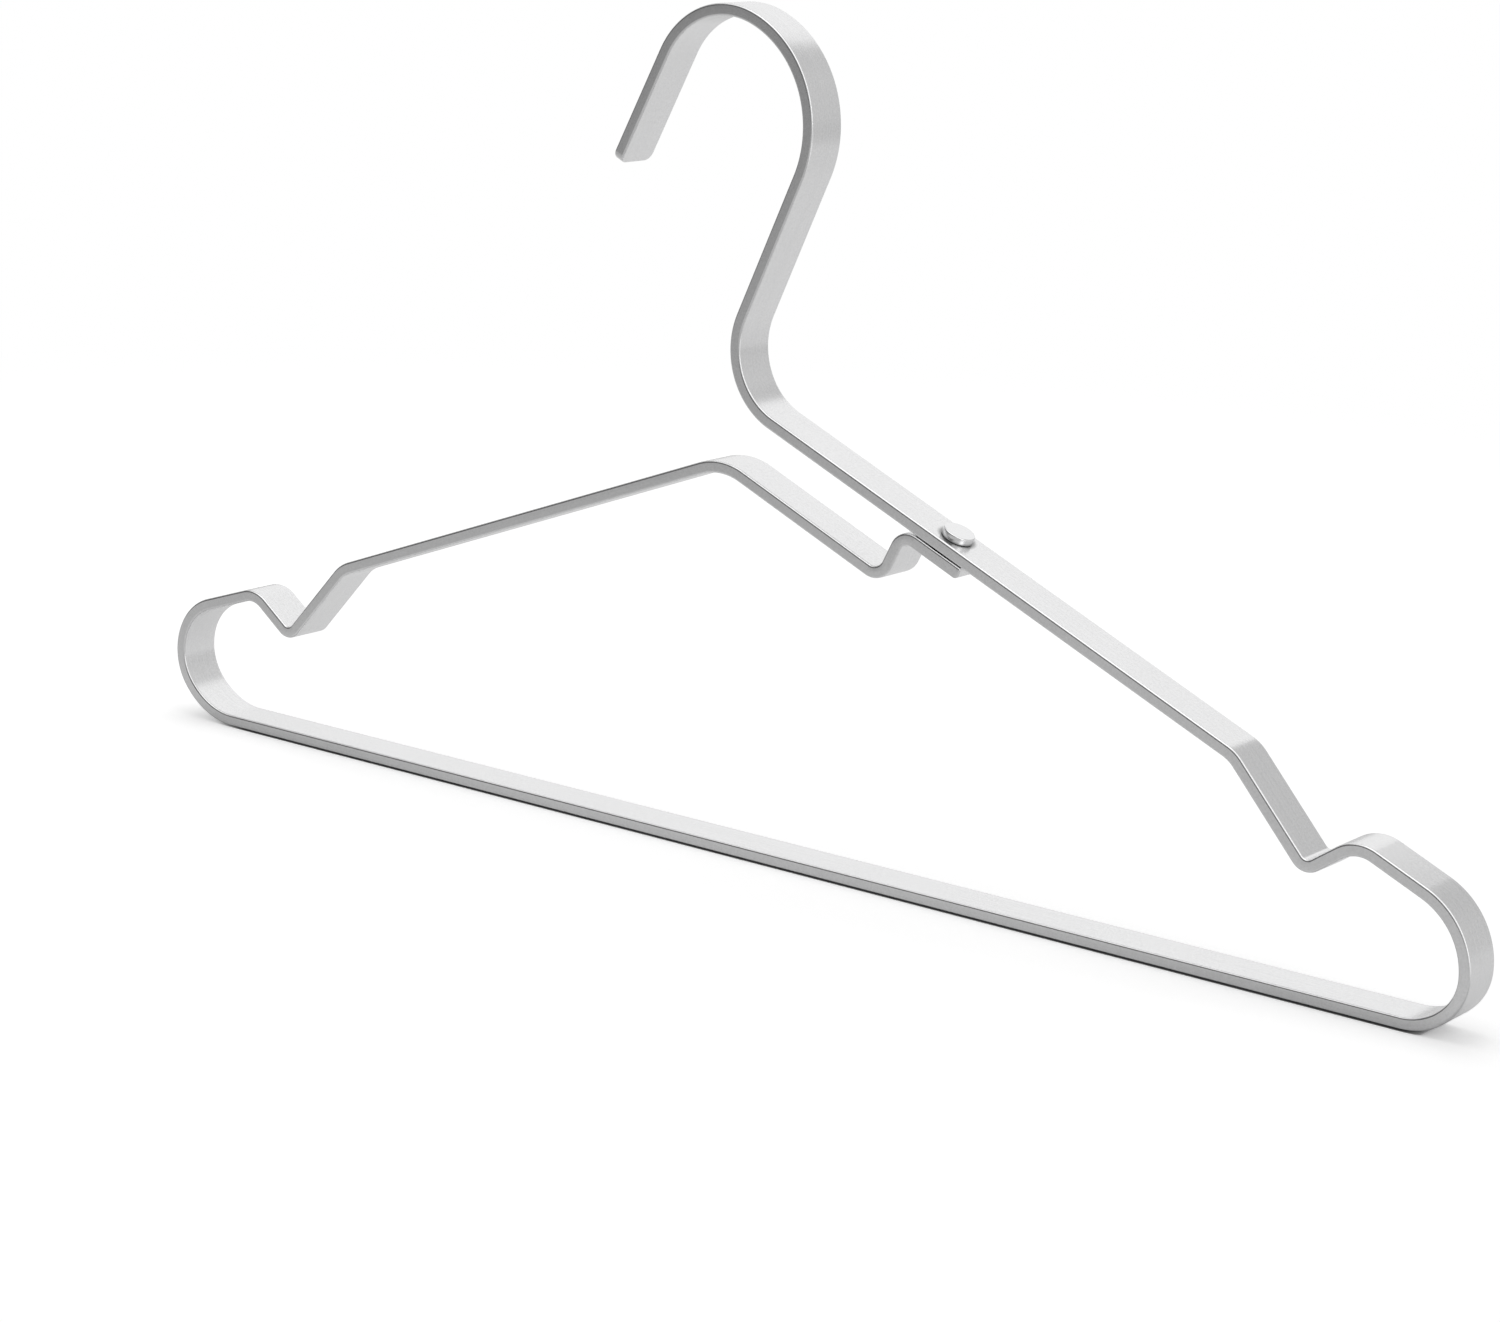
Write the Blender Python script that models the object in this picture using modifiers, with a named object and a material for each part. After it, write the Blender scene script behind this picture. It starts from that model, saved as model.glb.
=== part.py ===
"""Aluminium clothes hanger: one flat bar, bent to shape and closed by one rivet.

Metres, +Z up. The hanger stands on its trouser bar. X runs along that bar, Y runs across
the bar's width, and the origin lies under the middle of the hanger, where it stands.
"""
import math

import bmesh
import bpy
from mathutils import Vector

# The flat bar that the hanger is bent from
BAR_WIDTH = 0.0127
BAR_THICKNESS = 0.0032
EDGE_RADIUS = 0.0003

# The hanger as a whole
OVERALL_WIDTH = 0.418
SHOULDER_SLOPE = math.radians(23.2)
NOTCH_RADIUS = 0.0020

# Right end, from the trouser bar up and round to the shoulder. Every radius is an inside one.
RIGHT_HEEL_RADIUS = 0.0144
RIGHT_HEEL_TURN = math.radians(50.0)
RIGHT_SIDE_RADIUS = 0.0114
RIGHT_SIDE_TURN = math.radians(39.9)
RIGHT_BROW_RADIUS = 0.0184
RIGHT_BROW_TURN = math.radians(67.0)
RIGHT_BROW_RUN = 0.0147
RIGHT_CREST_RADIUS = 0.0076
RIGHT_CREST_TURN = math.radians(58.5)
RIGHT_NOTCH_DROP = 0.0074
RIGHT_NOTCH_TURN = math.radians(83.3)
RIGHT_NOTCH_RISE = 0.0288
RIGHT_FOOT_RADIUS = 0.0086

# Left end, in the same order. The two ends of the real hanger differ a little.
LEFT_HEEL_RADIUS = 0.0211
LEFT_HEEL_TURN = math.radians(50.0)
LEFT_SIDE_RADIUS = 0.0137
LEFT_SIDE_TURN = math.radians(48.4)
LEFT_BROW_RADIUS = 0.0145
LEFT_BROW_TURN = math.radians(62.7)
LEFT_BROW_RUN = 0.0155
LEFT_CREST_RADIUS = 0.0060
LEFT_CREST_TURN = math.radians(55.4)
LEFT_NOTCH_DROP = 0.0099
LEFT_NOTCH_TURN = math.radians(85.3)
LEFT_NOTCH_RISE = 0.0272
LEFT_FOOT_RADIUS = 0.0096

# Neck and hook, which stand square to the right shoulder
NECK_FOOT_OFFSET = 0.0158
NECK_FOOT_RADIUS = 0.0183
NECK_RUN = 0.0401
HOOK_BACK_RADIUS = 0.0274
HOOK_BACK_TURN = math.radians(93.0)
HOOK_TOP_RADIUS = 0.0203
HOOK_TOP_TURN = math.radians(83.9)
TIP_RUN = 0.0325
TIP_CORNER_RADIUS = 0.0025

# Peak, slot, step and tab, under the right shoulder
PEAK_RADIUS = 0.0157
SLOT_RUN = 0.0561
SLOT_HEIGHT = 0.0141
DIP_RADIUS = 0.0030
STEP_PLACE = 0.0675
STEP_TURN = math.radians(87.9)
TAB_BEND_RADIUS = 0.0025
TAB_RUN = 0.0153
SEAM_CLEARANCE = 0.0003

# Rivet
RIVET_HEAD_DIAMETER = 0.0084
RIVET_HEAD_HEIGHT = 0.0017
RIVET_SHANK_DIAMETER = 0.0040
RIVET_TAIL_DIAMETER = 0.0066
RIVET_TAIL_HEIGHT = 0.0011
RIVET_EDGE_RADIUS = 0.0004
RIVET_CLEARANCE = 0.0003
RIVET_PLACE_SHARE = 0.488

# Fineness of the mesh. The bends next to the trouser bar are coarser than the others, so that
# its flat underside ends at a clear corner and the hanger stands still on it.
ARC_STEP = math.radians(6.0)
FOOT_ARC_STEP = math.radians(13.0)
EDGE_SEGMENTS = 2
TIP_SEGMENTS = 8
ROUND_STEPS = 40
RIM_SEGMENTS = 3
SHARP_ANGLE = math.radians(35.0)
FLAT_ANGLE = math.radians(1.0)
MERGE_DISTANCE = 0.00001
CUT_OVERRUN = 0.002

# Directions in the plane of the bends, as (x, z)
ALONG_BAR = 0.0
DOWN_SHOULDER = Vector((math.cos(SHOULDER_SLOPE), -math.sin(SHOULDER_SLOPE)))
UP_NECK = Vector((math.sin(SHOULDER_SLOPE), math.cos(SHOULDER_SLOPE)))


def heading(angle):
    """Unit vector in the plane of the bends."""
    return Vector((math.cos(angle), math.sin(angle)))


def left_of(direction):
    """Unit vector to the left of a direction of travel."""
    return Vector((-direction.y, direction.x))


def middle_radius(inside_radius):
    """Radius of a bend at the middle of the bar's thickness."""
    return inside_radius + BAR_THICKNESS / 2


def walk(start, angle, bends):
    """Follow bends given as (straight run, inside radius, turn).

    Returns the sharp corner and middle radius of each bend, then the point and the heading
    where the last bend ends.
    """
    place = start.copy()
    corners = []
    for run, inside_radius, turn in bends:
        radius = middle_radius(inside_radius)
        tangent = radius * math.tan(abs(turn) / 2)
        corner = place + heading(angle) * (run + tangent)
        corners.append((corner, radius))
        angle += turn
        place = corner + heading(angle) * tangent
    return corners, place, angle


def round_end(bends, notch_rise):
    """Corners of one end, drawn as a right end, and the sharp corner where its shoulder starts.

    The end is slid sideways until its outer face reaches half the hanger's overall width.
    """
    corners, place, angle = walk(Vector((0.0, BAR_THICKNESS / 2)), ALONG_BAR, bends)
    shoulder_foot = place + heading(angle) * notch_rise
    path = [(Vector((0.0, BAR_THICKNESS / 2)), 0.0)] + corners + [(shoulder_foot, 0.0)]
    reach = max(point.x for point in band_outline(path))
    slide = Vector((OVERALL_WIDTH / 2 - reach, 0.0))
    return [(corner + slide, radius) for corner, radius in corners], shoulder_foot + slide


def mirrored(point):
    """The same point on the other side of the hanger's middle."""
    return Vector((-point.x, point.y))


def rounded(path):
    """Points along the middle of the bar, each with the unit vector to its left.

    The path is a list of sharp corners with the radius that rounds each. Where two bends
    would run into each other, both are made smaller until they only touch.
    """
    directions = [(path[i + 1][0] - path[i][0]).normalized() for i in range(len(path) - 1)]
    lengths = [(path[i + 1][0] - path[i][0]).length for i in range(len(path) - 1)]
    turns = [0.0]
    for before, after in zip(directions, directions[1:]):
        turns.append(math.atan2(before.x * after.y - before.y * after.x, before.dot(after)))
    turns.append(0.0)
    tangents = [radius * math.tan(abs(turn) / 2) for (corner, radius), turn in zip(path, turns)]
    for i, length in enumerate(lengths):
        needed = tangents[i] + tangents[i + 1]
        if needed > length:
            tangents[i] *= length / needed
            tangents[i + 1] *= length / needed

    samples = [(path[0][0], left_of(directions[0]))]
    for i in range(1, len(path) - 1):
        corner = path[i][0]
        side = math.copysign(1.0, turns[i])
        radius = tangents[i] / math.tan(abs(turns[i]) / 2)
        start = corner - directions[i - 1] * tangents[i]
        outward = -left_of(directions[i - 1]) * side
        centre = start - outward * radius
        arc_step = FOOT_ARC_STEP if corner.y < BAR_THICKNESS else ARC_STEP
        steps = max(2, math.ceil(abs(turns[i]) / arc_step))
        for step in range(steps + 1):
            angle = turns[i] * step / steps
            spoke = outward * math.cos(angle) + left_of(outward) * math.sin(angle)
            point = centre + spoke * radius
            if (point - samples[-1][0]).length > MERGE_DISTANCE:
                samples.append((point, -spoke * side))
    samples.append((path[-1][0], left_of(directions[-1])))
    return samples


def band_outline(path):
    """Closed outline of the bar seen on edge, half its thickness to each side of the path."""
    samples = rounded(path)
    left = [point + normal * BAR_THICKNESS / 2 for point, normal in samples]
    right = [point - normal * BAR_THICKNESS / 2 for point, normal in samples]
    return left + right[::-1]


def hanger_path():
    """Sharp corners of the whole bar, from the tab's end round to the hook's tip."""
    right_end, right_foot = round_end(
        (
            (0.0, RIGHT_HEEL_RADIUS, RIGHT_HEEL_TURN),
            (0.0, RIGHT_SIDE_RADIUS, RIGHT_SIDE_TURN),
            (0.0, RIGHT_BROW_RADIUS, RIGHT_BROW_TURN),
            (RIGHT_BROW_RUN, RIGHT_CREST_RADIUS, RIGHT_CREST_TURN),
            (RIGHT_NOTCH_DROP, NOTCH_RADIUS, -RIGHT_NOTCH_TURN),
        ),
        RIGHT_NOTCH_RISE,
    )
    left_end, left_foot = round_end(
        (
            (0.0, LEFT_HEEL_RADIUS, LEFT_HEEL_TURN),
            (0.0, LEFT_SIDE_RADIUS, LEFT_SIDE_TURN),
            (0.0, LEFT_BROW_RADIUS, LEFT_BROW_TURN),
            (LEFT_BROW_RUN, LEFT_CREST_RADIUS, LEFT_CREST_TURN),
            (LEFT_NOTCH_DROP, NOTCH_RADIUS, -LEFT_NOTCH_TURN),
        ),
        LEFT_NOTCH_RISE,
    )
    shoulder_length = (right_foot.x + NECK_FOOT_OFFSET) / math.cos(SHOULDER_SLOPE)
    neck_foot = right_foot - DOWN_SHOULDER * shoulder_length

    tab_corner = neck_foot + DOWN_SHOULDER * STEP_PLACE - UP_NECK * (BAR_THICKNESS + SEAM_CLEARANCE)
    tab_end = tab_corner + DOWN_SHOULDER * (tab_bend_reach() + TAB_RUN)
    step_drop = SLOT_HEIGHT - SEAM_CLEARANCE
    dip = tab_corner - UP_NECK * step_drop - DOWN_SHOULDER * step_drop / math.tan(STEP_TURN)
    peak = dip - DOWN_SHOULDER * SLOT_RUN

    path = [
        (tab_end, 0.0),
        (tab_corner, middle_radius(TAB_BEND_RADIUS)),
        (dip, middle_radius(DIP_RADIUS)),
        (peak, middle_radius(PEAK_RADIUS)),
        (mirrored(left_foot), middle_radius(LEFT_FOOT_RADIUS)),
    ]
    path += [(mirrored(corner), radius) for corner, radius in reversed(left_end)]
    path += right_end
    path += [
        (right_foot, middle_radius(RIGHT_FOOT_RADIUS)),
        (neck_foot, middle_radius(NECK_FOOT_RADIUS)),
    ]
    neck_start = neck_foot + UP_NECK * middle_radius(NECK_FOOT_RADIUS)
    hook, tip_start, tip_angle = walk(
        neck_start,
        math.pi / 2 - SHOULDER_SLOPE,
        (
            (NECK_RUN, HOOK_BACK_RADIUS, HOOK_BACK_TURN),
            (0.0, HOOK_TOP_RADIUS, HOOK_TOP_TURN),
        ),
    )
    path += hook
    path.append((tip_start + heading(tip_angle) * TIP_RUN, 0.0))
    return path, neck_foot


def tab_bend_reach():
    """How far the bend into the tab reaches along the tab, from its sharp corner."""
    return middle_radius(TAB_BEND_RADIUS) * math.tan(STEP_TURN / 2)


def aluminium(name, colour, roughness):
    """Bare metal material."""
    material = bpy.data.materials.new(name)
    material.use_nodes = True
    shader = material.node_tree.nodes["Principled BSDF"]
    shader.inputs["Base Color"].default_value = (*colour, 1.0)
    shader.inputs["Metallic"].default_value = 1.0
    shader.inputs["Roughness"].default_value = roughness
    material.diffuse_color = (*colour, 1.0)
    return material


def bar_curve(outline):
    """The outline as a flat 2D curve, as thick as the bar is wide and stood upright."""
    curve = bpy.data.curves.new("bar_outline", "CURVE")
    curve.dimensions = "2D"
    curve.fill_mode = "BOTH"
    curve.extrude = BAR_WIDTH / 2
    spline = curve.splines.new("POLY")
    spline.points.add(len(outline) - 1)
    for spline_point, point in zip(spline.points, outline):
        spline_point.co = (point.x, point.y, 0.0, 1.0)
    spline.use_cyclic_u = True
    curve_object = bpy.data.objects.new("bar_outline", curve)
    curve_object.rotation_euler = (math.pi / 2, 0.0, 0.0)
    return curve_object


def round_tip_corners(mesh, tip):
    """Round the hook's tip, seen on the bar's flat face, into a tongue."""
    at_tip = []
    for edge in mesh.edges:
        middle = (edge.verts[0].co + edge.verts[1].co) / 2
        across_thickness = abs(edge.verts[0].co.z - edge.verts[1].co.z) < MERGE_DISTANCE
        if across_thickness and (middle.xy - tip).length < MERGE_DISTANCE:
            at_tip.append(edge)
    bmesh.ops.bevel(
        mesh,
        geom=at_tip,
        affect="EDGES",
        offset=TIP_CORNER_RADIUS,
        segments=TIP_SEGMENTS,
        profile=0.5,
        clamp_overlap=False,
    )


def make_bar(collection, path):
    """The bent bar as a mesh with rounded edges."""
    curve_object = bar_curve(band_outline(path))
    collection.objects.link(curve_object)
    bpy.context.view_layer.update()
    evaluated = curve_object.evaluated_get(bpy.context.evaluated_depsgraph_get())
    mesh_data = bpy.data.meshes.new_from_object(evaluated)

    mesh = bmesh.new()
    mesh.from_mesh(mesh_data)
    bmesh.ops.remove_doubles(mesh, verts=mesh.verts, dist=MERGE_DISTANCE)
    bmesh.ops.dissolve_limit(mesh, angle_limit=FLAT_ANGLE, verts=mesh.verts, edges=mesh.edges)
    round_tip_corners(mesh, path[-1][0])
    bmesh.ops.recalc_face_normals(mesh, faces=mesh.faces)
    mesh.to_mesh(mesh_data)
    mesh.free()

    bar = bpy.data.objects.new("hanger_bar", mesh_data)
    bar.matrix_world = curve_object.matrix_world
    bpy.data.objects.remove(curve_object)
    collection.objects.link(bar)
    mesh_data.shade_smooth()
    mesh_data.set_sharp_from_angle(angle=SHARP_ANGLE)
    mesh_data.materials.clear()
    mesh_data.materials.append(aluminium("satin_aluminium", (0.66, 0.66, 0.67), 0.42))

    rounding = bar.modifiers.new("rounded_edges", "BEVEL")
    rounding.width = EDGE_RADIUS
    rounding.segments = EDGE_SEGMENTS
    rounding.limit_method = "ANGLE"
    rounding.angle_limit = SHARP_ANGLE
    rounding.use_clamp_overlap = False
    return bar


def drill(bar, cutters, place, depth):
    """Drill the rivet's hole through the shoulder and the tab."""
    bpy.ops.mesh.primitive_cylinder_add(
        vertices=ROUND_STEPS,
        radius=RIVET_SHANK_DIAMETER / 2 + RIVET_CLEARANCE,
        depth=depth + CUT_OVERRUN,
        location=place,
        rotation=(0.0, SHOULDER_SLOPE, 0.0),
    )
    drill_bit = bpy.context.object
    drill_bit.name = "rivet_hole_cutter"
    drill_bit.display_type = "WIRE"
    drill_bit.hide_render = True
    for owner in list(drill_bit.users_collection):
        owner.objects.unlink(drill_bit)
    cutters.objects.link(drill_bit)
    hole = bar.modifiers.new("rivet_hole", "BOOLEAN")
    hole.operation = "DIFFERENCE"
    hole.solver = "EXACT"
    hole.object = drill_bit


def quarter_round(centre, start_angle):
    """Points of a quarter circle of the rivet's edge radius, run clockwise."""
    points = []
    for step in range(RIM_SEGMENTS + 1):
        angle = start_angle - math.pi / 2 * step / RIM_SEGMENTS
        points.append(centre + heading(angle) * RIVET_EDGE_RADIUS)
    return points


def make_rivet(collection, place, grip):
    """Rivet turned about its own Z, which stands square to the shoulder.

    Its origin is at the middle of the two thicknesses that it grips.
    """
    head_under = grip / 2 + RIVET_CLEARANCE
    head_top = head_under + RIVET_HEAD_HEIGHT
    head_rim = RIVET_HEAD_DIAMETER / 2 - RIVET_EDGE_RADIUS
    tail_over = -grip / 2 - RIVET_CLEARANCE
    tail_end = tail_over - RIVET_TAIL_HEIGHT
    tail_rim = RIVET_TAIL_DIAMETER / 2 - RIVET_EDGE_RADIUS
    profile = [Vector((0.0, head_top))]
    profile += quarter_round(Vector((head_rim, head_top - RIVET_EDGE_RADIUS)), math.pi / 2)
    profile += [
        Vector((RIVET_HEAD_DIAMETER / 2, head_under)),
        Vector((RIVET_SHANK_DIAMETER / 2, head_under)),
        Vector((RIVET_SHANK_DIAMETER / 2, tail_over)),
        Vector((RIVET_TAIL_DIAMETER / 2, tail_over)),
    ]
    profile += quarter_round(Vector((tail_rim, tail_end + RIVET_EDGE_RADIUS)), 0.0)
    profile.append(Vector((0.0, tail_end)))

    mesh_data = bpy.data.meshes.new("rivet")
    edges = [(i, i + 1) for i in range(len(profile) - 1)]
    mesh_data.from_pydata([(point.x, 0.0, point.y) for point in profile], edges, [])
    rivet = bpy.data.objects.new("rivet", mesh_data)
    rivet.location = place
    rivet.rotation_euler = (0.0, SHOULDER_SLOPE, 0.0)
    collection.objects.link(rivet)
    mesh_data.materials.append(aluminium("bright_aluminium", (0.72, 0.72, 0.73), 0.3))

    turning = rivet.modifiers.new("turned", "SCREW")
    turning.axis = "Z"
    turning.steps = ROUND_STEPS
    turning.render_steps = ROUND_STEPS
    turning.use_merge_vertices = True
    turning.merge_threshold = MERGE_DISTANCE
    turning.use_smooth_shade = True
    return rivet


def new_collection(name):
    """Collection linked to the scene."""
    collection = bpy.data.collections.new(name)
    bpy.context.scene.collection.children.link(collection)
    return collection


def main():
    """Clear the scene and build the hanger."""
    for old in list(bpy.data.objects):
        bpy.data.objects.remove(old)
    hanger = new_collection("aluminium_clothes_hanger")
    cutters = new_collection("cutters")

    path, neck_foot = hanger_path()
    bar = make_bar(hanger, path)

    grip = 2 * BAR_THICKNESS + SEAM_CLEARANCE
    along = STEP_PLACE + tab_bend_reach() + TAB_RUN * RIVET_PLACE_SHARE
    seam = neck_foot + DOWN_SHOULDER * along - UP_NECK * (BAR_THICKNESS + SEAM_CLEARANCE) / 2
    rivet_place = Vector((seam.x, 0.0, seam.y))
    drill(bar, cutters, rivet_place, grip)
    make_rivet(hanger, rivet_place, grip)


main()
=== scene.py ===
"""Looks for the aluminium clothes hanger: its two pieces, their metal, the studio and the camera."""
import math

import bmesh
import bpy
from mathutils import Matrix, Vector


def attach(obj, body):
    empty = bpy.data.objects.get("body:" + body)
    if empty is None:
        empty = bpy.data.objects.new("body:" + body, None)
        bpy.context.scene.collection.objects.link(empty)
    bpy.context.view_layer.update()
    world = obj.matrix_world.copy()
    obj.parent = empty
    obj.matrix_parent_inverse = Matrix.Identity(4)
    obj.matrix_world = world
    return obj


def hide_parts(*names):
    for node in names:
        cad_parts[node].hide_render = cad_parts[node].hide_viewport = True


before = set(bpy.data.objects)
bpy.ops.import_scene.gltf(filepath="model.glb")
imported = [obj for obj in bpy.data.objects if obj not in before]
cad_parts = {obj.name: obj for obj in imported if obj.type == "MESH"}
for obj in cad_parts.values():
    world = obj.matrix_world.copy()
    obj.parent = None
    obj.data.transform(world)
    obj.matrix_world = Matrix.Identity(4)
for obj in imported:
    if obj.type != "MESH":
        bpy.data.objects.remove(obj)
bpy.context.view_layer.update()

# Sizes of the bent bar, the same as in the solids. A bend is (straight run, inside radius, turn).
BAR_WIDTH = 0.0127
BAR_THICKNESS = 0.0032
OVERALL_WIDTH = 0.418
SOLID_ARC_STEP = math.radians(6.0)
SHOULDER_SLOPE = math.radians(23.2)
NOTCH_RADIUS = 0.0020
RIGHT_HEEL = (0.0, 0.0144, math.radians(50.0))
RIGHT_SIDE = (0.0, 0.0114, math.radians(39.9))
RIGHT_BROW = (0.0, 0.0184, math.radians(67.0))
RIGHT_CREST = (0.0147, 0.0076, math.radians(58.5))
RIGHT_NOTCH = (0.0074, NOTCH_RADIUS, math.radians(-83.3))
RIGHT_NOTCH_RISE = 0.0288
RIGHT_FOOT_RADIUS = 0.0086
LEFT_HEEL = (0.0, 0.0211, math.radians(50.0))
LEFT_SIDE = (0.0, 0.0137, math.radians(48.4))
LEFT_BROW = (0.0, 0.0145, math.radians(62.7))
LEFT_CREST = (0.0155, 0.0060, math.radians(55.4))
LEFT_NOTCH = (0.0099, NOTCH_RADIUS, math.radians(-85.3))
LEFT_NOTCH_RISE = 0.0272
LEFT_FOOT_RADIUS = 0.0096
NECK_FOOT_OFFSET = 0.0158
NECK_FOOT_RADIUS = 0.0183
HOOK_BACK = (0.0401, 0.0274, math.radians(93.0))
HOOK_TOP = (0.0, 0.0203, math.radians(83.9))
TIP_RUN = 0.0325
PEAK_RADIUS = 0.0157
SLOT_RUN = 0.0561
SLOT_HEIGHT = 0.0141
DIP_RADIUS = 0.0030
STEP_PLACE = 0.0675
STEP_TURN = math.radians(87.9)
TAB_BEND_RADIUS = 0.0025
TAB_RUN = 0.0153
RIVET_PLACE_SHARE = 0.488

# Finer forms that only the looks have
SEAM_LEFT_OPEN = 0.0002
EDGE_RADIUS = 0.0006
EDGE_SEGMENTS = 6
TIP_CORNER_RADIUS = 0.0025
TAB_CORNER_RADIUS = 0.0006
TAB_EDGE_RADIUS = 0.00025
TAB_EDGE_SHARE = 0.9
TAB_EDGE_WIDENING_SHARE = 0.3
TAB_TOP_RADIUS = 0.0013
TAB_UNDER_RADIUS = 0.0007
CORNER_STEPS = 10
ARC_STEP = math.radians(2.0)
JOIN_DISTANCE = 0.00001
HEAD_RADIUS = 0.0042
HEAD_FLAT_SHARE = 0.5
HEAD_HEIGHT = 0.00198
HEAD_RIM = 0.00034
HEAD_FOOT = 0.0003
SHANK_RADIUS = 0.0020
TAIL_RADIUS = 0.0033
TAIL_HEIGHT = 0.0013
TAIL_RIM = 0.0005
TAIL_LIP_SHARE = 0.6
HOLE_RADIUS = 0.0023
SEAT_GAP = 0.00002
HOLE_STEPS = 48
TURN_STEPS = 96
RIM_STEPS = 8
HEAD_FOOT_STEPS = 4
FLAT_FACE_WEIGHT = 100

DOWN_SHOULDER = Vector((math.cos(SHOULDER_SLOPE), -math.sin(SHOULDER_SLOPE)))
UP_NECK = Vector((math.sin(SHOULDER_SLOPE), math.cos(SHOULDER_SLOPE)))


def heading(angle):
    """Unit vector in the plane of the bends."""
    return Vector((math.cos(angle), math.sin(angle)))


def left_of(direction):
    """Unit vector to the left of a direction of travel."""
    return Vector((-direction.y, direction.x))


def ahead_of(normal):
    """Direction of travel whose left is the given unit vector."""
    return Vector((normal.y, -normal.x))


def middle_radius(inside_radius):
    """Radius of a bend at the middle of the bar's thickness."""
    return inside_radius + BAR_THICKNESS / 2


def walk(start, angle, bends):
    """Corners of a row of bends, then the place and the heading where the last one ends."""
    place = start.copy()
    corners = []
    for run, inside_radius, turn in bends:
        radius = middle_radius(inside_radius)
        tangent = radius * math.tan(abs(turn) / 2)
        corner = place + heading(angle) * (run + tangent)
        corners.append((corner, radius))
        angle += turn
        place = corner + heading(angle) * tangent
    return corners, place, angle


def rounded(path, arc_step):
    """Points along the middle of the bar, each with the unit vector to its left."""
    directions = [(path[i + 1][0] - path[i][0]).normalized() for i in range(len(path) - 1)]
    lengths = [(path[i + 1][0] - path[i][0]).length for i in range(len(path) - 1)]
    turns = [0.0]
    for before, after in zip(directions, directions[1:]):
        turns.append(math.atan2(before.x * after.y - before.y * after.x, before.dot(after)))
    turns.append(0.0)
    tangents = [radius * math.tan(abs(turn) / 2) for (corner, radius), turn in zip(path, turns)]
    for i, length in enumerate(lengths):
        needed = tangents[i] + tangents[i + 1]
        if needed > length:
            tangents[i] *= length / needed
            tangents[i + 1] *= length / needed
    samples = [(path[0][0], left_of(directions[0]))]
    for i in range(1, len(path) - 1):
        side = math.copysign(1.0, turns[i])
        radius = tangents[i] / math.tan(abs(turns[i]) / 2)
        start = path[i][0] - directions[i - 1] * tangents[i]
        outward = -left_of(directions[i - 1]) * side
        centre = start - outward * radius
        steps = max(2, math.ceil(abs(turns[i]) / arc_step))
        for step in range(steps + 1):
            angle = turns[i] * step / steps
            spoke = outward * math.cos(angle) + left_of(outward) * math.sin(angle)
            point = centre + spoke * radius
            if (point - samples[-1][0]).length > JOIN_DISTANCE:
                samples.append((point, -spoke * side))
    samples.append((path[-1][0], left_of(directions[-1])))
    return samples


def round_end(bends, notch_rise):
    """Corners of one end, drawn as a right end, and the corner where its shoulder starts."""
    start = Vector((0.0, BAR_THICKNESS / 2))
    corners, place, angle = walk(start, 0.0, bends)
    shoulder_foot = place + heading(angle) * notch_rise
    path = [(start, 0.0)] + corners + [(shoulder_foot, 0.0)]
    faces = [p + n * s * BAR_THICKNESS / 2 for p, n in rounded(path, SOLID_ARC_STEP) for s in (1, -1)]
    slide = Vector((OVERALL_WIDTH / 2 - max(p.x for p in faces), 0.0))
    return [(corner + slide, radius) for corner, radius in corners], shoulder_foot + slide


def mirrored(point):
    """The same point on the other side of the hanger's middle."""
    return Vector((-point.x, point.y))


def tab_bend_reach():
    """How far the bend into the tab reaches along the tab."""
    return middle_radius(TAB_BEND_RADIUS) * math.tan(STEP_TURN / 2)


def hanger_path():
    """Corners of the whole bar, from the tab's end round to the hook's tip, and the neck's foot."""
    right_end, right_foot = round_end(
        (RIGHT_HEEL, RIGHT_SIDE, RIGHT_BROW, RIGHT_CREST, RIGHT_NOTCH), RIGHT_NOTCH_RISE)
    left_end, left_foot = round_end(
        (LEFT_HEEL, LEFT_SIDE, LEFT_BROW, LEFT_CREST, LEFT_NOTCH), LEFT_NOTCH_RISE)
    shoulder_length = (right_foot.x + NECK_FOOT_OFFSET) / math.cos(SHOULDER_SLOPE)
    neck_foot = right_foot - DOWN_SHOULDER * shoulder_length
    tab_corner = neck_foot + DOWN_SHOULDER * STEP_PLACE - UP_NECK * (BAR_THICKNESS + SEAM_LEFT_OPEN)
    tab_end = tab_corner + DOWN_SHOULDER * (tab_bend_reach() + TAB_RUN)
    step_drop = SLOT_HEIGHT - SEAM_LEFT_OPEN
    dip = tab_corner - UP_NECK * step_drop - DOWN_SHOULDER * step_drop / math.tan(STEP_TURN)
    peak = dip - DOWN_SHOULDER * SLOT_RUN
    path = [
        (tab_end, 0.0),
        (tab_corner, middle_radius(TAB_BEND_RADIUS)),
        (dip, middle_radius(DIP_RADIUS)),
        (peak, middle_radius(PEAK_RADIUS)),
        (mirrored(left_foot), middle_radius(LEFT_FOOT_RADIUS)),
    ]
    path += [(mirrored(corner), radius) for corner, radius in reversed(left_end)]
    path += right_end
    path += [
        (right_foot, middle_radius(RIGHT_FOOT_RADIUS)),
        (neck_foot, middle_radius(NECK_FOOT_RADIUS)),
    ]
    neck_start = neck_foot + UP_NECK * middle_radius(NECK_FOOT_RADIUS)
    hook, tip_start, tip_angle = walk(neck_start, math.pi / 2 - SHOULDER_SLOPE, (HOOK_BACK, HOOK_TOP))
    return path + hook + [(tip_start + heading(tip_angle) * TIP_RUN, 0.0)], neck_foot


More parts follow.
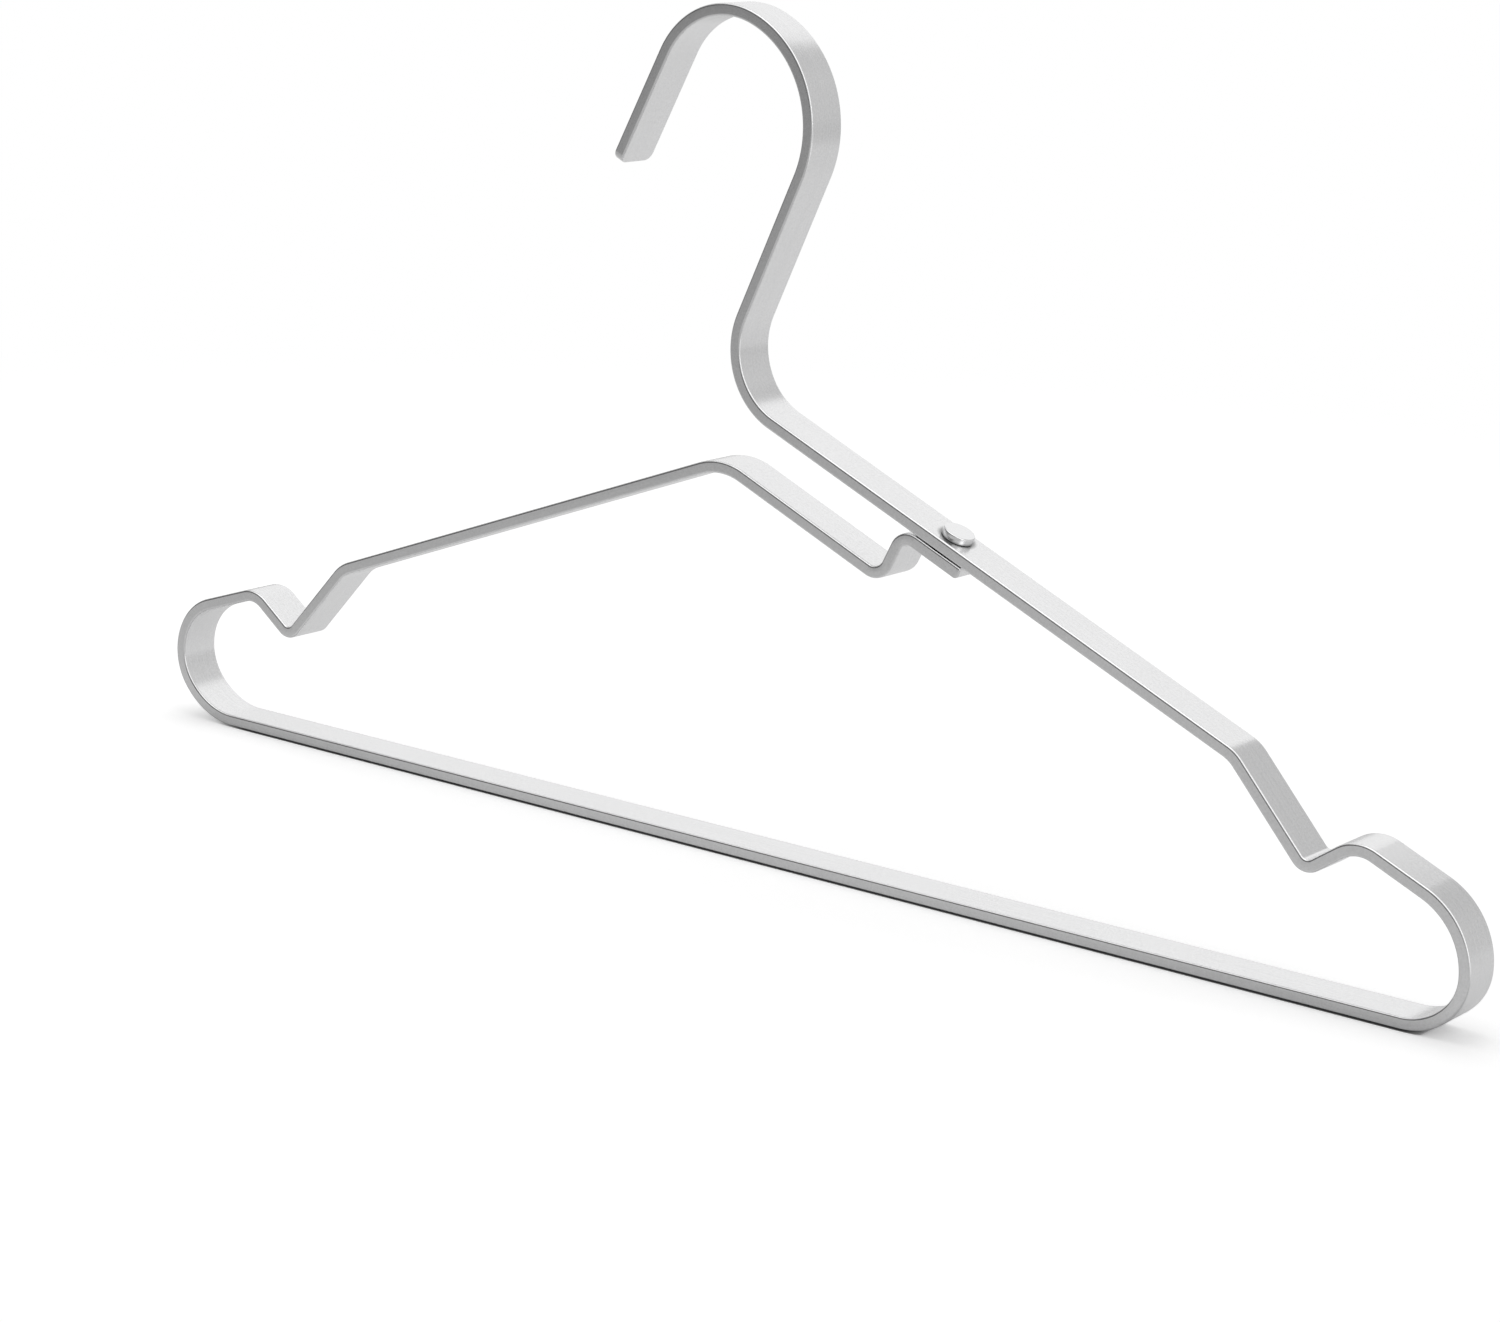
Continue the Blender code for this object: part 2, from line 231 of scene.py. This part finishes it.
def section_levels(upper_radius):
    """Half of the bar's section, from one flat face round to the other, as (offset, inset)."""
    halves = []
    for radius in (upper_radius, EDGE_RADIUS):
        levels = []
        for step in range(EDGE_SEGMENTS + 1):
            angle = math.pi / 2 * (1 - step / EDGE_SEGMENTS)
            offset = BAR_THICKNESS / 2 - radius * (1 - math.sin(angle))
            levels.append((offset, radius * (1 - math.cos(angle))))
        halves.append(levels)
    return halves[0] + [(-offset, inset) for offset, inset in reversed(halves[1])]


def bar_stations(path):
    """Places along the bar as (point, normal, corner radius, corner angle, side of the end)."""
    samples = rounded(path, ARC_STEP)
    (tab_end, tab_normal), (tip_end, tip_normal) = samples[0], samples[-1]
    stations = []
    for step in range(CORNER_STEPS + 1):
        angle = math.pi / 2 * (1 - step / CORNER_STEPS)
        base = tab_end + ahead_of(tab_normal) * TAB_CORNER_RADIUS
        stations.append((base, tab_normal, TAB_CORNER_RADIUS, angle, -1))
    for step in range(1, CORNER_STEPS + 1):
        depth = TAB_CORNER_RADIUS + (TAB_TOP_RADIUS - TAB_CORNER_RADIUS) * step / CORNER_STEPS
        base = tab_end + ahead_of(tab_normal) * depth
        stations.append((base, tab_normal, TAB_CORNER_RADIUS, 0.0, 0))
    stations += [(point, normal, TAB_CORNER_RADIUS, 0.0, 0) for point, normal in samples[1:-1]]
    for step in range(CORNER_STEPS + 1):
        angle = math.pi / 2 * step / CORNER_STEPS
        base = tip_end - ahead_of(tip_normal) * TIP_CORNER_RADIUS
        stations.append((base, tip_normal, TIP_CORNER_RADIUS, angle, 1))
    return stations


def upper_edge_radius(from_tab_end):
    """Radius of the upper edges: sharper on the tab, so that the seam over it stays crisp."""
    past_tab = from_tab_end - TAB_RUN * TAB_EDGE_SHARE
    widening = min(1.0, max(0.0, past_tab / (TAB_RUN * TAB_EDGE_WIDENING_SHARE)))
    return TAB_EDGE_RADIUS + (EDGE_RADIUS - TAB_EDGE_RADIUS) * widening


def tab_share(depth, offset):
    """How much thickness is left this deep inside the tab's end, whose edges are worn round."""
    radius = TAB_TOP_RADIUS if offset > 0 else TAB_UNDER_RADIUS
    if not 0.0 <= depth < radius:
        return 1.0
    kept = BAR_THICKNESS / 2 - radius + math.sqrt(radius ** 2 - (radius - depth) ** 2)
    return kept / (BAR_THICKNESS / 2)


def bar_mesh(path):
    """The bar as one closed skin, with a UV map of distance along it by distance round it."""
    mesh = bmesh.new()
    uv_layer = mesh.loops.layers.uv.new("along_and_round")
    rings = []
    along = 0.0
    last = None
    tab_end = path[0][0]
    for place, (base, normal, corner, angle, end) in enumerate(bar_stations(path)):
        forward = ahead_of(normal)
        levels = section_levels(upper_edge_radius((base - tab_end).length))
        ring = []
        for side in (1, -1):
            for offset, inset in (levels if side > 0 else levels[::-1]):
                reach = end * (corner - inset) * math.sin(angle)
                half = BAR_WIDTH / 2 - corner + (corner - inset) * math.cos(angle)
                if place <= 2 * CORNER_STEPS:
                    offset *= tab_share((base + forward * reach - tab_end).dot(forward), offset)
                point = base + normal * offset + forward * reach
                ring.append(mesh.verts.new((point.x, side * half, point.y)))
        middle = base + forward * end * corner * math.sin(angle)
        if last is not None:
            along += (middle - last).length
        last = middle
        rings.append((ring, along))
    around = [0.0]
    first = rings[len(rings) // 2][0]
    for a, b in zip(first, first[1:] + first[:1]):
        around.append(around[-1] + (a.co - b.co).length)
    count = len(first)
    for (ring_a, u_a), (ring_b, u_b) in zip(rings, rings[1:]):
        for k in range(count):
            nxt = (k + 1) % count
            face = mesh.faces.new((ring_a[k], ring_b[k], ring_b[nxt], ring_a[nxt]))
            spots = ((u_a, around[k]), (u_b, around[k]), (u_b, around[k + 1]), (u_a, around[k + 1]))
            for loop, spot in zip(face.loops, spots):
                loop[uv_layer].uv = spot
    for ring, u in (rings[0], rings[-1]):
        for k in range(len(levels) - 1):
            a, b, c, d = ring[k], ring[k + 1], ring[count - 2 - k], ring[count - 1 - k]
            face = mesh.faces.new((a, b, c, d))
            for loop in face.loops:
                loop[uv_layer].uv = (loop.vert.co.y, u + loop.vert.co.z)
    return finished_mesh("bent_bar", mesh)


def finished_mesh(name, mesh):
    """Turn a closed bmesh into smooth mesh data whose faces all point outwards."""
    bmesh.ops.recalc_face_normals(mesh, faces=mesh.faces)
    for face in mesh.faces:
        face.smooth = True
    made = bpy.data.meshes.new(name)
    mesh.to_mesh(made)
    mesh.free()
    return made


def turned_mesh(name, profile, steps):
    """A turned solid from (radius, height) points, both ends of which are on the axis."""
    mesh = bmesh.new()
    rings = []
    for radius, height in profile:
        if radius < JOIN_DISTANCE:
            rings.append([mesh.verts.new((0.0, 0.0, height))])
        else:
            rings.append([
                mesh.verts.new((radius * math.cos(turn), radius * math.sin(turn), height))
                for turn in (2 * math.pi * k / steps for k in range(steps))
            ])
    for upper, lower in zip(rings, rings[1:]):
        for k in range(steps):
            nxt = (k + 1) % steps
            corners = [upper[k % len(upper)], lower[k % len(lower)],
                       lower[nxt % len(lower)], upper[nxt % len(upper)]]
            mesh.faces.new(list(dict.fromkeys(corners)))
    return finished_mesh(name, mesh)


def quarter(out, up, radius, start, steps=RIM_STEPS):
    """Points of a quarter circle about (out, up), run clockwise from the start angle in degrees."""
    points = []
    for step in range(steps + 1):
        angle = math.radians(start - 90 * step / steps)
        points.append((out + radius * math.cos(angle), up + radius * math.sin(angle)))
    return points


def rivet_profile(grip):
    """Outline of the set rivet about the middle of the two thicknesses that it grips."""
    seat = grip / 2 + SEAT_GAP
    top = seat + HEAD_HEIGHT
    foot = -grip / 2 - SEAT_GAP
    bottom = foot - TAIL_HEIGHT
    profile = [(0.0, top), (HEAD_RADIUS * HEAD_FLAT_SHARE, top)]
    profile += quarter(HEAD_RADIUS - HEAD_RIM, top - HEAD_RIM, HEAD_RIM, 90)
    profile += quarter(HEAD_RADIUS - HEAD_FOOT, seat + HEAD_FOOT, HEAD_FOOT, 0, HEAD_FOOT_STEPS)
    profile += [(SHANK_RADIUS, seat), (SHANK_RADIUS, foot), (TAIL_RADIUS - TAIL_RIM, foot)]
    profile += [(TAIL_RADIUS, foot - TAIL_RIM * TAIL_LIP_SHARE)]
    profile += quarter(TAIL_RADIUS - TAIL_RIM, bottom + TAIL_RIM, TAIL_RIM, 0)
    profile += [(0.0, bottom)]
    return profile


def add_object(name, mesh):
    """New object in the scene's own collection."""
    made = bpy.data.objects.new(name, mesh)
    bpy.context.scene.collection.objects.link(made)
    return made


def keep_flats_flat(piece):
    """Shade the large flat faces as flat and only the rounded edges as round."""
    made = piece.modifiers.new("flat_faces_stay_flat", "WEIGHTED_NORMAL")
    made.weight = FLAT_FACE_WEIGHT
    return made


# Shader helpers. Each takes the tree first, and values are sockets unless it says otherwise.

def feed(tree, value, socket):
    """Feed a socket from another one, or set it to a number or a colour."""
    if isinstance(value, (int, float, tuple)):
        socket.default_value = value
    else:
        tree.links.new(value, socket)


def node(tree, kind, **inputs):
    """New shader node. Inputs are given by name, with spaces as underscores."""
    made = tree.nodes.new(kind)
    for key, value in inputs.items():
        feed(tree, value, made.inputs[key.replace("_", " ")])
    return made


def ramp(tree, source, low, high, out_low, out_high):
    """Map a value from one range onto another, smoothly and clamped."""
    made = node(tree, "ShaderNodeMapRange", Value=source, From_Min=low, From_Max=high,
                To_Min=out_low, To_Max=out_high)
    made.interpolation_type = "SMOOTHSTEP"
    return made.outputs["Result"]


def maths(tree, operation, a, b):
    """Maths node on two sockets or numbers."""
    made = tree.nodes.new("ShaderNodeMath")
    made.operation = operation
    feed(tree, a, made.inputs[0])
    feed(tree, b, made.inputs[1])
    return made.outputs["Value"]


def product(tree, *factors):
    """Product of several sockets or numbers."""
    result = factors[0]
    for factor in factors[1:]:
        result = maths(tree, "MULTIPLY", result, factor)
    return result


def measure(tree, operation, vector, other=(0.0, 0.0, 0.0)):
    """Length of a vector, or its dot product with a fixed one."""
    made = tree.nodes.new("ShaderNodeVectorMath")
    made.operation = operation
    tree.links.new(vector, made.inputs[0])
    made.inputs[1].default_value = other
    return made.outputs["Value"]


def axes(tree, vector):
    """The X, Y and Z of a vector, by name."""
    made = tree.nodes.new("ShaderNodeSeparateXYZ")
    tree.links.new(vector, made.inputs[0])
    return made.outputs


def blend(tree, factor, a, b):
    """Mix of two values, each a socket or a number, by a factor."""
    made = tree.nodes.new("ShaderNodeMix")
    made.data_type = "FLOAT"
    for value, socket in ((factor, 0), (a, 2), (b, 3)):
        feed(tree, value, made.inputs[socket])
    return made.outputs[0]


def colour_blend(tree, factor, a, b):
    """Mix of two colours, each a socket or a colour, by a factor."""
    made = tree.nodes.new("ShaderNodeMix")
    made.data_type = "RGBA"
    for value, socket in ((factor, 0), (a, 6), (b, 7)):
        feed(tree, value, made.inputs[socket])
    return made.outputs[2]


def shader_blend(tree, factor, a, b):
    """Mix of two shaders by a factor."""
    made = tree.nodes.new("ShaderNodeMixShader")
    for value, socket in ((factor, 0), (a, 1), (b, 2)):
        tree.links.new(value, made.inputs[socket])
    return made.outputs[0]


def noise(tree, place, settings):
    """Noise at a place, with its scale, detail and roughness given by name."""
    return node(tree, "ShaderNodeTexNoise", Vector=place, **settings).outputs["Fac"]


# Grain of the metal. The drawing lines run along the bar, in metres of its UV map.
LINE_STRETCH = (14.0, 2600.0, 1.0)
LINE_NOISE = {"Scale": 1.0, "Detail": 3.0, "Roughness": 0.6}
GRAIN_NOISE = {"Detail": 4.0, "Roughness": 0.65}
CLOUD_NOISE = {"Scale": 42.0, "Detail": 2.0, "Roughness": 0.5}
LINES_IN_COLOUR = 0.35
GRAIN_IN_COLOUR = 0.65
LINES_IN_ROUGHNESS = 0.5
CLOUDS_IN_ROUGHNESS = 0.5
NOISE_LOW = 0.3
NOISE_HIGH = 0.7
METAL_TINT = (0.995, 0.995, 1.0)


def aluminium(name, light, dark, rough_low, rough_high, grain_scale, grain_depth, painted_shade_spots=()):
    """Bare anodised metal: fine grain, faint drawing lines along the bar and slight unevenness.

    Each painted shade spot is a place, how far the spot is turned about Y, its size along each axis,
    the two distances between which the painted shade ends, in these sizes, and the grey the painted
    shade darkens to.
    """
    material = bpy.data.materials.new(name)
    material.use_nodes = True
    tree = material.node_tree
    shader = tree.nodes["Principled BSDF"]
    shader.inputs["Metallic"].default_value = 1.0
    place = tree.nodes.new("ShaderNodeTexCoord")
    in_metres = place.outputs["Object"]

    stretch = node(tree, "ShaderNodeMapping", Vector=place.outputs["UV"], Scale=LINE_STRETCH)
    lines = noise(tree, stretch.outputs["Vector"], LINE_NOISE)
    grain = noise(tree, in_metres, {"Scale": grain_scale, **GRAIN_NOISE})
    clouds = noise(tree, in_metres, CLOUD_NOISE)

    uneven = maths(tree, "ADD", maths(tree, "MULTIPLY", lines, LINES_IN_COLOUR),
                   maths(tree, "MULTIPLY", grain, GRAIN_IN_COLOUR))
    surface = colour_blend(tree, ramp(tree, uneven, NOISE_LOW, NOISE_HIGH, 0.0, 1.0),
                           tuple(dark * t for t in METAL_TINT) + (1.0,),
                           tuple(light * t for t in METAL_TINT) + (1.0,))
    # Painted shade: each spot darkens the colour towards its grey
    for middle, turn, size, inner, outer, grey in painted_shade_spots:
        spot = node(tree, "ShaderNodeMapping", Vector=in_metres, Location=middle,
                    Rotation=(0.0, turn, 0.0), Scale=size)
        spot.vector_type = "TEXTURE"
        from_middle = measure(tree, "LENGTH", spot.outputs["Vector"])
        surface = colour_blend(tree, ramp(tree, from_middle, inner, outer, 1.0, 0.0), surface,
                               (grey, grey, grey, 1.0))
    tree.links.new(surface, shader.inputs["Base Color"])
    rough = maths(tree, "ADD", maths(tree, "MULTIPLY", clouds, CLOUDS_IN_ROUGHNESS),
                  maths(tree, "MULTIPLY", lines, LINES_IN_ROUGHNESS))
    tree.links.new(ramp(tree, rough, NOISE_LOW, NOISE_HIGH, rough_low, rough_high),
                   shader.inputs["Roughness"])
    bump = node(tree, "ShaderNodeBump", Height=uneven, Strength=1.0, Distance=grain_depth)
    tree.links.new(bump.outputs["Normal"], shader.inputs["Normal"])
    return material


# The bar
path, neck_foot = hanger_path()
bar = add_object("bent_bar", bar_mesh(path))
grip = 2 * BAR_THICKNESS + SEAM_LEFT_OPEN
rivet_run = STEP_PLACE + tab_bend_reach() + TAB_RUN * RIVET_PLACE_SHARE
seam = neck_foot + DOWN_SHOULDER * rivet_run - UP_NECK * (BAR_THICKNESS + SEAM_LEFT_OPEN) / 2
square_to_shoulder = (Matrix.Translation((seam.x, 0.0, seam.y))
                      @ Matrix.Rotation(SHOULDER_SLOPE, 4, "Y"))

hole_outline = [(0.0, grip), (HOLE_RADIUS, grip), (HOLE_RADIUS, -grip), (0.0, -grip)]
bit = add_object("hole_cutter", turned_mesh("hole_cutter", hole_outline, HOLE_STEPS))
bit.matrix_world = square_to_shoulder
hole = bar.modifiers.new("hole", "BOOLEAN")
hole.operation = "DIFFERENCE"
hole.solver = "EXACT"
hole.object = bit
bpy.context.view_layer.update()
drilled = bpy.data.meshes.new_from_object(bar.evaluated_get(bpy.context.evaluated_depsgraph_get()))
bar.modifiers.clear()
bar.data = drilled
bpy.data.objects.remove(bit)
keep_flats_flat(bar).keep_sharp = True

# The rivet
rivet = add_object("set_rivet", turned_mesh("set_rivet", rivet_profile(grip), TURN_STEPS))
rivet.matrix_world = square_to_shoulder
keep_flats_flat(rivet)

# Metal, with painted shade in a ring round the rivet's head and painted shade in the seam over the
# tab
HEAD_SHADE_RING = (0.0042, 0.0057)
HEAD_SHADE_RING_GREY = 0.30
# Painted shade along the seam over the tab: a thin band darkened to a grey
SEAM_SHADE_HALF = 0.00028
SEAM_SHADE_FADE = (0.3, 1.0)
SEAM_SHADE_GREY = 0.06
under_head = seam + UP_NECK * grip / 2
seam_middle = seam - DOWN_SHOULDER * TAB_RUN * (RIVET_PLACE_SHARE - 0.5)
seam_shade_size = (TAB_RUN / 2, 1.0, SEAM_SHADE_HALF)
painted_shade_by_head = ((under_head.x, 0.0, under_head.y), 0.0, (1.0, 1.0, 1.0), *HEAD_SHADE_RING, HEAD_SHADE_RING_GREY)
painted_shade_in_seam = ((seam_middle.x, 0.0, seam_middle.y), SHOULDER_SLOPE, seam_shade_size, *SEAM_SHADE_FADE,
                SEAM_SHADE_GREY)
satin = aluminium("satin_aluminium", light=0.94, dark=0.82, rough_low=0.20, rough_high=0.26,
                  grain_scale=1800.0, grain_depth=0.000012, painted_shade_spots=(painted_shade_by_head, painted_shade_in_seam))
bright = aluminium("bright_aluminium", light=0.92, dark=0.88, rough_low=0.13, rough_high=0.18,
                   grain_scale=3600.0, grain_depth=0.000004)
for piece, metal, cad_node, slot in ((bar, satin, "hanger_bar", "satin_aluminium"),
                                     (rivet, bright, "rivet", "bright_aluminium")):
    piece.data.materials.clear()
    piece.data.materials.append(metal)
    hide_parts(cad_node)
    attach(piece, "root")

# Camera at the photograph's viewing angle
AZIMUTH = math.radians(36.29)
ELEVATION = math.radians(13.92)
ROLL = math.radians(2.50)
DISTANCE = 0.98856
LOOKED_AT = Vector((-0.00496, 0.0, 0.05170))
SENSOR_WIDTH = 36.0
LENS = 90.70
SIGHT = 100.0
back = Vector((math.sin(AZIMUTH) * math.cos(ELEVATION), -math.cos(AZIMUTH) * math.cos(ELEVATION),
               math.sin(ELEVATION)))
across = Vector((math.cos(AZIMUTH), math.sin(AZIMUTH), 0.0))
upward = back.cross(across)
turned_across = across * math.cos(ROLL) + upward * math.sin(ROLL)
turned_upward = upward * math.cos(ROLL) - across * math.sin(ROLL)
camera = add_object("camera", bpy.data.cameras.new("camera"))
camera.matrix_world = Matrix.Translation(LOOKED_AT + back * DISTANCE) @ Matrix(
    (turned_across, turned_upward, back)).transposed().to_4x4()
camera.data.sensor_width = SENSOR_WIDTH
camera.data.lens = LENS
camera.data.clip_end = SIGHT
camera.data.dof.use_dof = False
bpy.context.scene.camera = camera

# Plain white floor that keeps the object's soft shadow. From here on a tuple of four is a ramp, as
# (from low, from high, to low, to high), unless it is a colour.
WHITE = (1.0, 1.0, 1.0, 1.0)
FRONT_LEFT = (-0.587, -0.809, 0.0)
FLOOR_SIZE = 40.0
FLOOR_DROP = 0.0002
FLOOR_GREY = (0.80, 0.80, 0.80, 1.0)
FLOOR_GLOW = 0.26
FLOOR_LIGHT = 0.86
FLOOR_FAR = (0.40, 0.80, 0.0, 1.0)
CONTACT_REACH = 0.0013
CONTACT_SAMPLES = 8
CONTACT_SHADE = (0.50, 0.78, 0.92, 0.0)
CONTACT_AT_LEFT_HEEL = (-0.196, -0.180, 0.0, 1.0)
CONTACT_AT_RIGHT_HEEL = (0.192, 0.206, 1.0, 0.0)

# The floor as the metal mirrors it: greyer towards the front left, shaded just before the bar, with
# a light panel at the right between two slanted sides, each given as a slant and a ramp
MIRRORED_BY_DEPTH = (-0.15, 0.08, 0.54, 0.73)
MIRRORED_TO_FRONT_LEFT = (0.15, 1.80, 1.0, 0.80)
MIRRORED_OUTWARD = (0.45, 1.30, 1.0, 0.76)
MIRRORED_AT_LEFT_END = (-0.26, -0.17, 0.87, 1.0)
SHADE_BEFORE_BAR = (0.04, 0.20, 0.11, 0.22)
SHADE_STARTS = (-0.035, -0.012, 0.0, 1.0)
SHADE_STOPS = (-0.006, 0.0, 1.0, 0.0)
PANEL_SIDES = ((-0.9, (0.24, 0.30, 0.0, 1.0)), (0.7, (0.24, 0.31, 0.0, 1.0)))
PANEL_OUTWARD = (0.55, 1.10, 1.0, 0.62)

floor_mesh = bpy.data.meshes.new("floor")
half = FLOOR_SIZE / 2
floor_corners = [(-half, -half, 0.0), (half, -half, 0.0), (half, half, 0.0), (-half, half, 0.0)]
floor_mesh.from_pydata(floor_corners, [], [(0, 1, 2, 3)])
floor = add_object("floor", floor_mesh)
floor.location.z = -FLOOR_DROP

paint = bpy.data.materials.new("floor_white")
paint.use_nodes = True
tree = paint.node_tree
tree.nodes.clear()
place = tree.nodes.new("ShaderNodeNewGeometry").outputs["Position"]
on_floor = axes(tree, place)
spread = measure(tree, "LENGTH", place)
far = ramp(tree, spread, *FLOOR_FAR)
matt = node(tree, "ShaderNodeBsdfDiffuse", Color=FLOOR_GREY)

# Painted contact shadow: the dark line from ambient occlusion where the bar touches the floor, which
# fades out under both heels
crevice = node(tree, "ShaderNodeAmbientOcclusion", Distance=CONTACT_REACH)
crevice.samples = CONTACT_SAMPLES
contact = maths(tree, "SUBTRACT", 1.0, product(
    tree, ramp(tree, crevice.outputs["AO"], *CONTACT_SHADE),
    ramp(tree, on_floor["X"], *CONTACT_AT_LEFT_HEEL),
    ramp(tree, on_floor["X"], *CONTACT_AT_RIGHT_HEEL)))

# What the camera sees: white, down to a soft shadow by the object
lit_part = node(tree, "ShaderNodeBsdfDiffuse", Color=contact)
own_part = node(tree, "ShaderNodeEmission", Color=WHITE,
                Strength=maths(tree, "MULTIPLY", contact, FLOOR_GLOW))
near_look = tree.nodes.new("ShaderNodeAddShader")
tree.links.new(lit_part.outputs[0], near_look.inputs[0])
tree.links.new(own_part.outputs[0], near_look.inputs[1])
far_look = node(tree, "ShaderNodeEmission", Color=WHITE, Strength=1.0)
camera_look = shader_blend(tree, far, near_look.outputs[0], far_look.outputs[0])

# What the metal mirrors
shade = product(
    tree, ramp(tree, maths(tree, "ABSOLUTE", on_floor["X"], 0.0), *SHADE_BEFORE_BAR),
    ramp(tree, on_floor["Y"], *SHADE_STARTS), ramp(tree, on_floor["Y"], *SHADE_STOPS))
mirror_level = product(
    tree, ramp(tree, on_floor["Y"], *MIRRORED_BY_DEPTH),
    ramp(tree, measure(tree, "DOT_PRODUCT", place, FRONT_LEFT), *MIRRORED_TO_FRONT_LEFT),
    ramp(tree, spread, *MIRRORED_OUTWARD), ramp(tree, on_floor["X"], *MIRRORED_AT_LEFT_END),
    maths(tree, "SUBTRACT", 1.0, shade))
sides = []
for slant, edge in PANEL_SIDES:
    slanted = maths(tree, "ADD", on_floor["X"], maths(tree, "MULTIPLY", on_floor["Y"], slant))
    sides.append(ramp(tree, slanted, *edge))
on_panel = product(tree, *sides)
mirror_level = blend(tree, on_panel, mirror_level, ramp(tree, on_floor["X"], *PANEL_OUTWARD))
mirror_near = node(tree, "ShaderNodeBsdfDiffuse",
                   Color=product(tree, maths(tree, "DIVIDE", mirror_level, FLOOR_LIGHT), contact))
mirror_far = node(tree, "ShaderNodeEmission", Color=WHITE, Strength=mirror_level)
mirror_look = shader_blend(tree, far, mirror_near.outputs[0], mirror_far.outputs[0])

rays = tree.nodes.new("ShaderNodeLightPath").outputs
seen_in_metal = shader_blend(tree, rays["Is Glossy Ray"], matt.outputs[0], mirror_look)
whole = shader_blend(tree, rays["Is Camera Ray"], seen_in_metal, camera_look)
tree.links.new(whole, tree.nodes.new("ShaderNodeOutputMaterial").inputs["Surface"])
floor_mesh.materials.append(paint)

# World: white behind the object, and in the metal a grey room with a dark front left, a light panel
# overhead that is brightest in its middle, and a bright one above on the right
BACKGROUND_LEVEL = 1.0
SOFT_LIGHT_LEVEL = 0.60
ROOM_BY_HEIGHT = (0.15, 0.60, 0.53, 0.57)
ROOM_TO_RIGHT = (0.30, 0.46, 0.0, 0.075)
DARK_LEVEL = 0.11
DARK_TO_FRONT_LEFT = (0.40, 0.62, 0.0, 1.0)
DARK_BY_HEIGHT = (0.55, 0.72, 1.0, 0.0)
PANEL_LEVEL = 1.0
BRIGHT_PANEL_LEVEL = 1.6
TOP_PANEL_RIM = (0.70, 0.80, 0.0, 1.0)
TOP_PANEL_BACK = (0.10, 0.40, 1.0, 0.0)
TOP_PANEL_MIDDLE = (0.90, 0.97, 0.0, 1.0)
RIGHT_ABOVE = (0.896, -0.199, 0.398)
RIGHT_PANEL_RIM = (0.72, 0.84, 0.0, 1.0)
RIGHT_PANEL_FRONT = (-0.58, -0.32, 0.0, 1.0)
RIGHT_PANEL_BACK = (-0.20, 0.10, 1.0, 0.0)

world = bpy.data.worlds.new("studio")
bpy.context.scene.world = world
world.use_nodes = True
tree = world.node_tree
tree.nodes.clear()
way = tree.nodes.new("ShaderNodeTexCoord").outputs["Generated"]
to = axes(tree, way)
dark = product(tree, ramp(tree, measure(tree, "DOT_PRODUCT", way, FRONT_LEFT), *DARK_TO_FRONT_LEFT),
               ramp(tree, to["Z"], *DARK_BY_HEIGHT))
room = maths(tree, "ADD", ramp(tree, to["Z"], *ROOM_BY_HEIGHT), ramp(tree, to["X"], *ROOM_TO_RIGHT))
room = blend(tree, dark, room, DARK_LEVEL)
right_panel = product(
    tree, ramp(tree, measure(tree, "DOT_PRODUCT", way, RIGHT_ABOVE), *RIGHT_PANEL_RIM),
    ramp(tree, to["Y"], *RIGHT_PANEL_BACK), ramp(tree, to["Y"], *RIGHT_PANEL_FRONT))
top_panel = product(tree, ramp(tree, to["Z"], *TOP_PANEL_RIM), ramp(tree, to["Y"], *TOP_PANEL_BACK))
brightest = maths(tree, "MAXIMUM", right_panel, ramp(tree, to["Z"], *TOP_PANEL_MIDDLE))
panel_level = blend(tree, brightest, PANEL_LEVEL, BRIGHT_PANEL_LEVEL)
in_metal = blend(tree, maths(tree, "MAXIMUM", right_panel, top_panel), room, panel_level)
rays = tree.nodes.new("ShaderNodeLightPath").outputs
plain = blend(tree, rays["Is Glossy Ray"], SOFT_LIGHT_LEVEL, in_metal)
level = blend(tree, rays["Is Camera Ray"], plain, BACKGROUND_LEVEL)
sky = node(tree, "ShaderNodeBackground", Color=WHITE, Strength=level)
tree.links.new(sky.outputs[0], tree.nodes.new("ShaderNodeOutputWorld").inputs["Surface"])


def softbox(name, width, height, level, place, tilt, mirrored_too):
    """Rectangular lamp with a face of the given level, where 1 is white. The metal may mirror it."""
    lamp = bpy.data.lights.new(name, "AREA")
    lamp.shape = "RECTANGLE"
    lamp.size = width
    lamp.size_y = height
    lamp.energy = level * math.pi * width * height
    made = add_object(name, lamp)
    made.location = place
    made.rotation_euler = (tilt, 0.0, 0.0)
    made.visible_camera = False
    made.visible_glossy = mirrored_too


# A tall softbox behind on the left, and a smaller one overhead
softbox("softbox_back_left", width=1.15, height=1.10, level=0.38, place=(-0.465, 0.80, 0.68),
        tilt=math.radians(-90.0), mirrored_too=True)
softbox("softbox_overhead", width=0.90, height=0.70, level=1.15, place=(-0.15, 0.05, 1.05),
        tilt=0.0, mirrored_too=False)

bpy.context.scene.view_settings.view_transform = "Standard"

bpy.context.view_layer.update()
